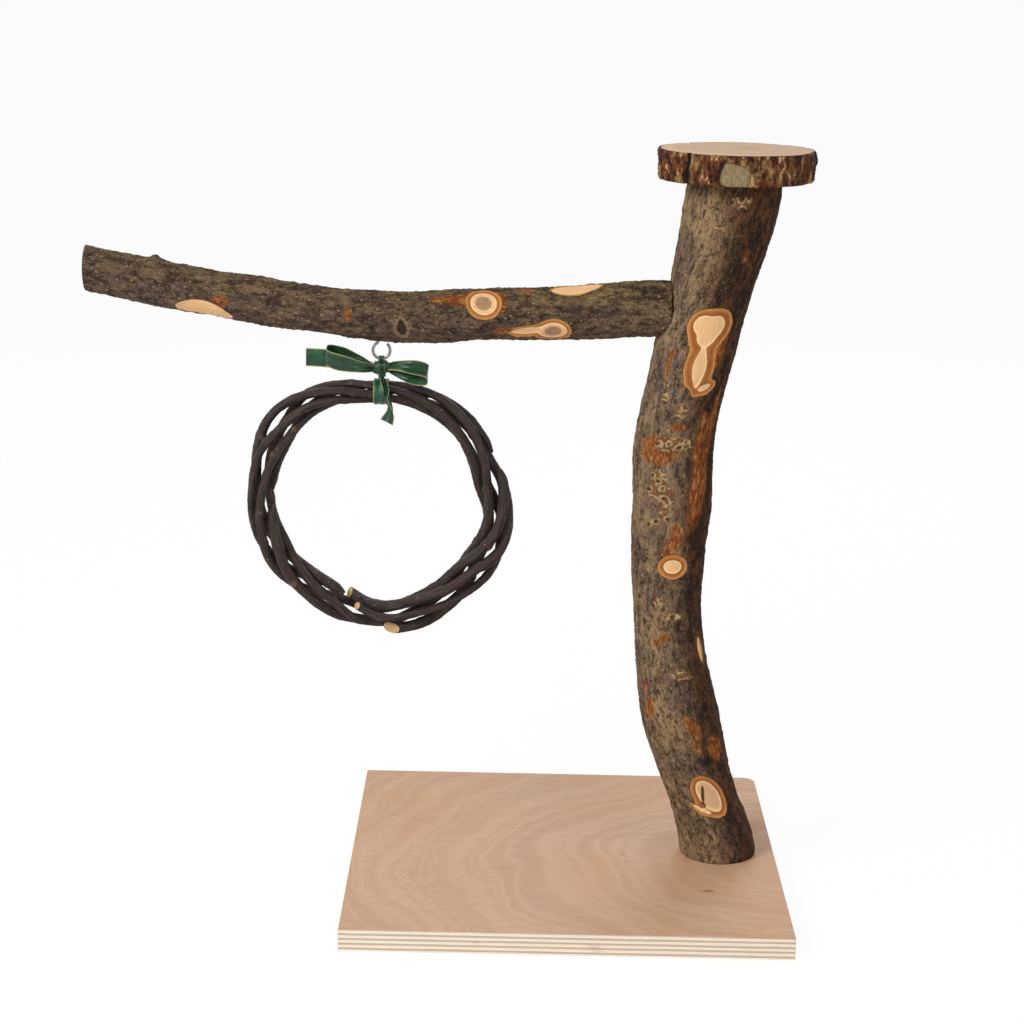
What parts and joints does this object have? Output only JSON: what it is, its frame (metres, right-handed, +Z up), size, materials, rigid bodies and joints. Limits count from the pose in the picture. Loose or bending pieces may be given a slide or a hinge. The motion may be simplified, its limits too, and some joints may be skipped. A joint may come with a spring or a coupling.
{
  "type": "parrot play stand",
  "caption": "Table-top parrot play stand: square plywood base, natural branch post with a log-slice platform, side perch branch and a hanging ring of twisted canes.",
  "frame": {"origin": "middle of the base board's underside", "axes": "+Z up; the perch points to -X; -Y faces the viewer of the picture"},
  "size_m": [0.4887, 0.3, 0.513],
  "materials": {
    "base_plywood": "bare plywood",
    "post_bark": "natural bark with peeled knots",
    "perch_bark": "natural bark with peeled knots",
    "platform_wood": "sawn log slice with bark rim",
    "dowel_wood": "plain hardwood",
    "cane": "dry dark vine",
    "eye_steel": "dull plated wire",
    "screw_steel": "yellow zinc",
    "ribbon_satin": "satin with gold edges"
  },
  "bodies": {
    "stand": {"base_board": "base_plywood", "post": "post_bark", "platform": "platform_wood", "perch": "perch_bark", "screw_eye": "eye_steel", "base_screws": "screw_steel", "platform_dowel": "dowel_wood", "perch_bolt": "screw_steel"},
    "bow": {"ribbon_eye_loop": "ribbon_satin", "bow_knot": "ribbon_satin", "bow_loop_left": "ribbon_satin", "bow_loop_right": "ribbon_satin", "bow_tail_left": "ribbon_satin", "bow_tail_start": "ribbon_satin"},
    "neck": {"ribbon_neck": "ribbon_satin"},
    "ring": {"cane_1": "cane", "cane_2": "cane", "cane_3": "cane", "cane_4": "cane", "cane_5": "cane", "ribbon_wrap": "ribbon_satin", "front_tail": "ribbon_satin"}
  },
  "joints": [
    {"name": "ring_swing", "type": "hinge", "parent": "stand", "child": "bow", "pos_m": [-0.13258, 0, 0.36668], "axis": [1, 0, 0], "range_deg": [-50, 50]},
    {"name": "ring_sway", "type": "hinge", "parent": "bow", "child": "neck", "pos_m": [-0.13258, 0, 0.35493], "axis": [0, 1, 0], "range_deg": [-11, 11]},
    {"name": "ring_twist", "type": "hinge", "parent": "neck", "child": "ring", "pos_m": [-0.13258, 0, 0.35493], "axis": [0, 0, 1], "range_deg": [-90, 90]}
  ]
}
